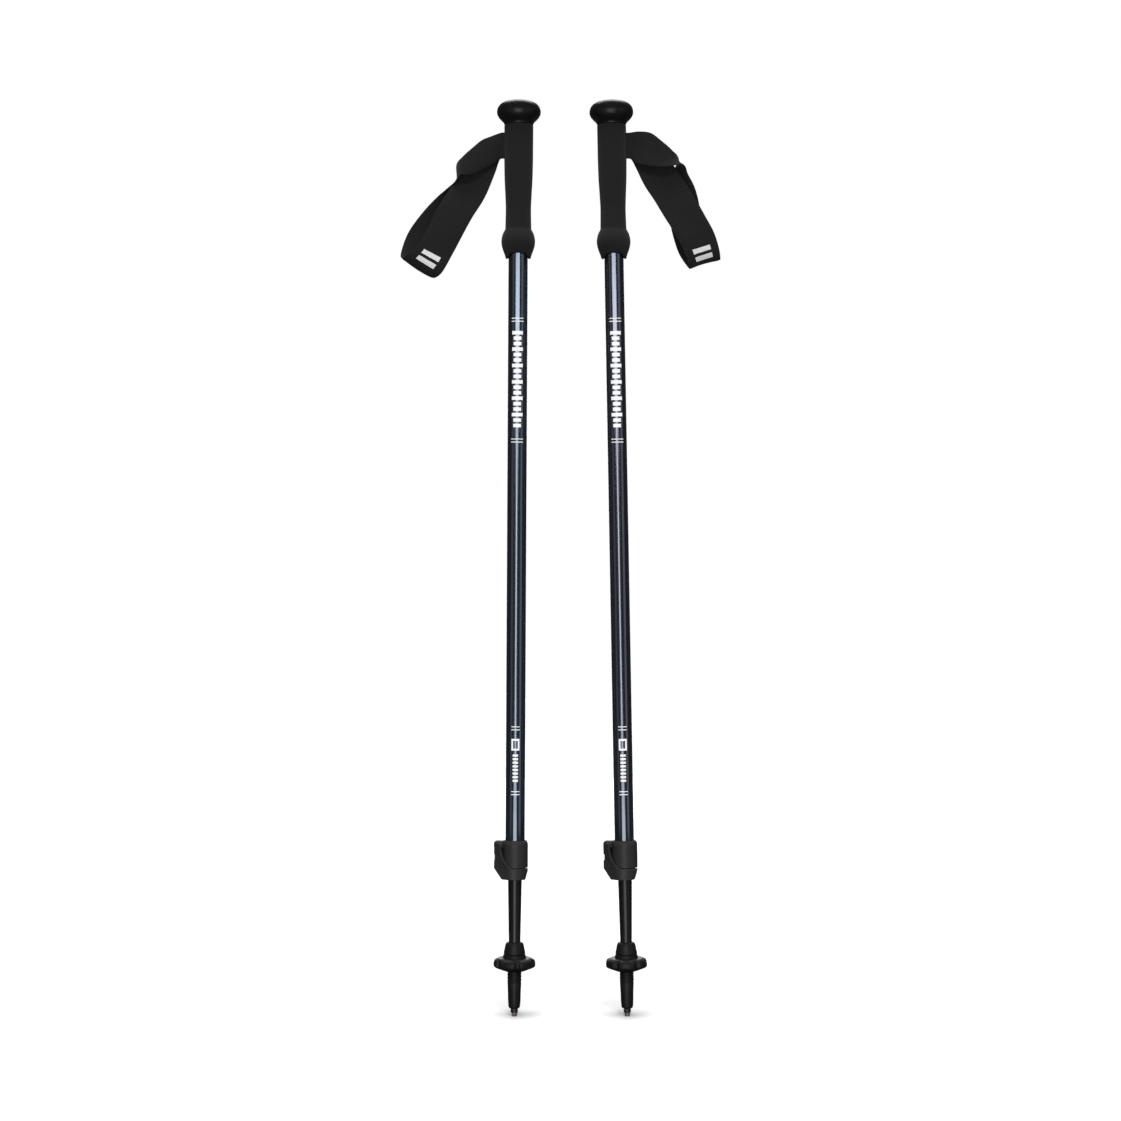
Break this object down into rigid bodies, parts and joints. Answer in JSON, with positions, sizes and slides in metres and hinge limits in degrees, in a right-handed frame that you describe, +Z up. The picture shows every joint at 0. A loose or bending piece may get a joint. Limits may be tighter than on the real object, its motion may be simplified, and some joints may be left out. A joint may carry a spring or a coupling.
{
  "type": "pair of trekking poles",
  "caption": "Pair of telescoping trekking poles with foam grips, webbing wrist straps, cam-lever clamps, lobed baskets and hard-metal tips, standing upright side by side.",
  "frame": {"origin": "on the ground plane, midway across the pair", "axes": "+X from the left pole to the right pole, +Z up along the poles, -Y towards the viewer in front"},
  "size_m": [0.3292, 0.0452, 0.9425],
  "materials": {
    "upper_tube": "dark blue anodised, glossy",
    "lower_tube": "black anodised, satin",
    "grip_foam": "matte closed-cell foam",
    "knob_plastic": "glossy black moulding",
    "hard_plastic": "matte black moulding",
    "clamp_plastic": "matte black glass-filled nylon",
    "tip_plastic": "matte black moulding",
    "webbing": "woven black nylon webbing",
    "steel": "zinc-plated",
    "holder_steel": "blackened steel",
    "carbide": "sintered hard metal, bare"
  },
  "bodies": {
    "root": {"left_knob": "knob_plastic", "left_grip_core": "hard_plastic", "left_grip_foam": "grip_foam", "left_strap_pin": "steel", "left_strap_inner": "webbing", "left_strap_wedge": "hard_plastic", "left_upper_shaft": "upper_tube", "left_clamp_collar": "clamp_plastic", "left_lever_pin": "steel", "left_clamp_screw": "steel", "left_shaft_bushing": "hard_plastic", "right_knob": "knob_plastic", "right_grip_core": "hard_plastic", "right_grip_foam": "grip_foam", "right_strap_pin": "steel", "right_strap_inner": "webbing", "right_strap_wedge": "hard_plastic", "right_upper_shaft": "upper_tube", "right_clamp_collar": "clamp_plastic", "right_lever_pin": "steel", "right_clamp_screw": "steel", "right_shaft_bushing": "hard_plastic"},
    "left_lower_section": {"left_lower_shaft": "lower_tube", "left_shaft_guide": "hard_plastic", "left_tip_collar": "tip_plastic", "left_tip_body": "tip_plastic", "left_tip_holder": "holder_steel", "left_carbide_tip": "carbide"},
    "left_basket_body": {"left_basket": "tip_plastic"},
    "left_lever_body": {"left_clamp_lever": "clamp_plastic"},
    "left_nut_body": {"left_clamp_nut": "steel"},
    "left_strap_body": {"left_strap": "webbing"},
    "right_lower_section": {"right_lower_shaft": "lower_tube", "right_shaft_guide": "hard_plastic", "right_tip_collar": "tip_plastic", "right_tip_body": "tip_plastic", "right_tip_holder": "holder_steel", "right_carbide_tip": "carbide"},
    "right_basket_body": {"right_basket": "tip_plastic"},
    "right_lever_body": {"right_clamp_lever": "clamp_plastic"},
    "right_nut_body": {"right_clamp_nut": "steel"},
    "right_strap_body": {"right_strap": "webbing"}
  },
  "joints": [
    {"name": "left_length", "type": "slide", "parent": "root", "child": "left_lower_section", "axis": [-0.0052, 0, -1], "range_m": [0, 0.45]},
    {"name": "left_lever_swing", "type": "hinge", "parent": "root", "child": "left_lever_body", "pos_m": [-0.06444, 0, 0.1638], "axis": [-0.0052, 0, -1], "range_deg": [0, 120]},
    {"name": "left_nut_turn", "type": "hinge", "parent": "root", "child": "left_nut_body", "pos_m": [-0.06444, 0.0136, 0.1638], "axis": [0, 1, 0], "continuous": true},
    {"name": "left_basket_turn", "type": "hinge", "parent": "left_lower_section", "child": "left_basket_body", "pos_m": [-0.04742, 0, 0.05401], "axis": [0.0052, 0, 1], "range_deg": [0, 810]},
    {"name": "left_strap_swing", "type": "hinge", "parent": "root", "child": "left_strap_body", "pos_m": [-0.06101, 0, 0.8961], "axis": [-0.0052, 0, -1], "range_deg": [-60, 60]},
    {"name": "right_length", "type": "slide", "parent": "root", "child": "right_lower_section", "axis": [0.0178, 0, -0.9998], "range_m": [0, 0.45]},
    {"name": "right_lever_swing", "type": "hinge", "parent": "root", "child": "right_lever_body", "pos_m": [0.04861, 0.00275, 0.16341], "axis": [0.0178, 0, -0.9998], "range_deg": [0, 120]},
    {"name": "right_nut_turn", "type": "hinge", "parent": "root", "child": "right_nut_body", "pos_m": [0.05073, 0.01619, 0.16345], "axis": [0.1564, 0.9877, 0.0028], "continuous": true},
    {"name": "right_basket_turn", "type": "hinge", "parent": "right_lower_section", "child": "right_basket_body", "pos_m": [0.06794, 0, 0.05404], "axis": [-0.0178, 0, 0.9998], "range_deg": [0, 810]},
    {"name": "right_strap_swing", "type": "hinge", "parent": "root", "child": "right_strap_body", "pos_m": [0.07095, 0, 0.89623], "axis": [-0.0178, 0, 0.9998], "range_deg": [-60, 60]}
  ]
}
